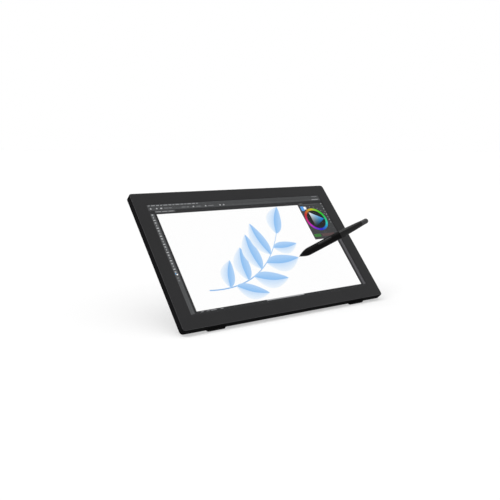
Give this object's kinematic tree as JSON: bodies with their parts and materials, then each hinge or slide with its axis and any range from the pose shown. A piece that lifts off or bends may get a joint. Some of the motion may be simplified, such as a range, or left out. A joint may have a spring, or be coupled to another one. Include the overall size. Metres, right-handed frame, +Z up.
{
  "type": "pen display tablet",
  "caption": "Drawing tablet with a wide laminated screen, thin casing, rear housing with a folding friction-hinged leg and mounting holes, edge keys, and a resting pressure pen.",
  "frame": {"origin": "on the desk, under the middle of the object's box", "axes": "+X to the right along the screen's bottom edge, +Z up, the screen faces -Y and up"},
  "size_m": [0.5386, 0.2472, 0.2551],
  "materials": {
    "cover_glass": "etched anti-glare",
    "display_cell": "lit picture",
    "foam_tape": "matte",
    "white_plastic": "matte",
    "optical_film": "satin",
    "light_guide": "clear",
    "led_board": "matte",
    "circuit_board": "solder mask",
    "sheet_steel": "galvanised",
    "frame_plastic": "fine texture",
    "rear_plastic": "fine texture",
    "key_plastic": "satin",
    "ribbon_film": "satin",
    "socket_steel": "nickel plated",
    "socket_plastic": "matte",
    "lens_plastic": "clear",
    "rubber": "matte",
    "insert_brass": "machined",
    "screw_steel": "black zinc",
    "hinge_steel": "satin",
    "washer_bronze": "satin",
    "leg_aluminium": "bead-blasted, anodised",
    "nib_plastic": "matte",
    "pen_plastic": "satin",
    "pen_rubber": "soft touch",
    "pen_cap_plastic": "satin",
    "copper_coil": "enamelled wire"
  },
  "bodies": {
    "display": {"cover_glass": "cover_glass", "glass_tape": "foam_tape", "lcd_cell": "display_cell", "panel_frame": "white_plastic", "diffuser_sheet": "optical_film", "light_guide": "light_guide", "led_strip": "led_board", "reflector_sheet": "optical_film", "sensor_board": "circuit_board", "shield_sheet": "sheet_steel", "chassis_plate": "sheet_steel", "front_frame": "frame_plastic", "rear_cover": "rear_plastic", "main_board": "circuit_board", "driver_board": "circuit_board", "source_board": "circuit_board", "button_board": "circuit_board", "display_ribbon": "ribbon_film", "sensor_ribbon": "ribbon_film", "button_ribbon": "ribbon_film", "hdmi_socket": "socket_steel", "usb_sockets": "socket_steel", "dc_jack": "socket_plastic", "power_light": "lens_plastic", "foot_left": "rubber", "foot_right": "rubber", "rear_pads": "rubber", "vesa_plate": "sheet_steel", "vesa_inserts": "insert_brass", "case_screws": "screw_steel", "chassis_screws": "screw_steel", "board_screws": "screw_steel", "hinge_bracket_left": "hinge_steel", "hinge_bracket_right": "hinge_steel", "hinge_pin_left": "hinge_steel", "hinge_pin_right": "hinge_steel", "friction_washers": "washer_bronze", "hinge_nuts": "hinge_steel", "hinge_screws": "screw_steel"},
    "leg": {"stand_leg": "leg_aluminium", "leg_pad_left": "rubber", "leg_pad_right": "rubber"},
    "power_key": {"power_button": "key_plastic"},
    "brightness_up_key": {"brightness_up_button": "key_plastic"},
    "brightness_down_key": {"brightness_down_button": "key_plastic"},
    "pen": {"pen_tip_cone": "pen_plastic", "pen_grip": "pen_rubber", "pen_barrel": "pen_plastic", "pen_end_cap": "pen_cap_plastic", "pen_core": "pen_plastic", "pen_coil": "copper_coil", "pen_pressure_sensor": "socket_steel", "pen_circuit_board": "circuit_board"},
    "nib": {"pen_nib": "nib_plastic"},
    "rocker": {"pen_rocker": "pen_plastic"}
  },
  "joints": [
    {"name": "leg_fold", "type": "hinge", "parent": "display", "child": "leg", "pos_m": [0, 0.03284, 0.12378], "axis": [1, 0, 0], "range_deg": [-71.8, 73]},
    {"name": "power_press", "type": "slide", "parent": "display", "child": "power_key", "axis": [-1, 0, 0], "range_m": [0, 0.0006], "stiffness_N_per_m": 3000},
    {"name": "brightness_up_press", "type": "slide", "parent": "display", "child": "brightness_up_key", "axis": [-1, 0, 0], "range_m": [0, 0.0006], "stiffness_N_per_m": 3000},
    {"name": "brightness_down_press", "type": "slide", "parent": "display", "child": "brightness_down_key", "axis": [-1, 0, 0], "range_m": [0, 0.0006], "stiffness_N_per_m": 3000},
    {"name": "pen_lift", "type": "slide", "parent": "display", "child": "pen", "axis": [0.6424, -0.586, 0.4939], "range_m": [0, 0.1]},
    {"name": "nib_press", "type": "slide", "parent": "pen", "child": "nib", "axis": [0.6424, -0.586, 0.4939], "range_m": [0, 0.0008], "stiffness_N_per_m": 3000},
    {"name": "rocker_tilt", "type": "hinge", "parent": "pen", "child": "rocker", "pos_m": [0.12289, -0.0628, 0.14513], "axis": [0.0349, 0.6661, 0.745], "range_deg": [-3, 3], "stiffness_Nm_per_rad": 0.3}
  ]
}
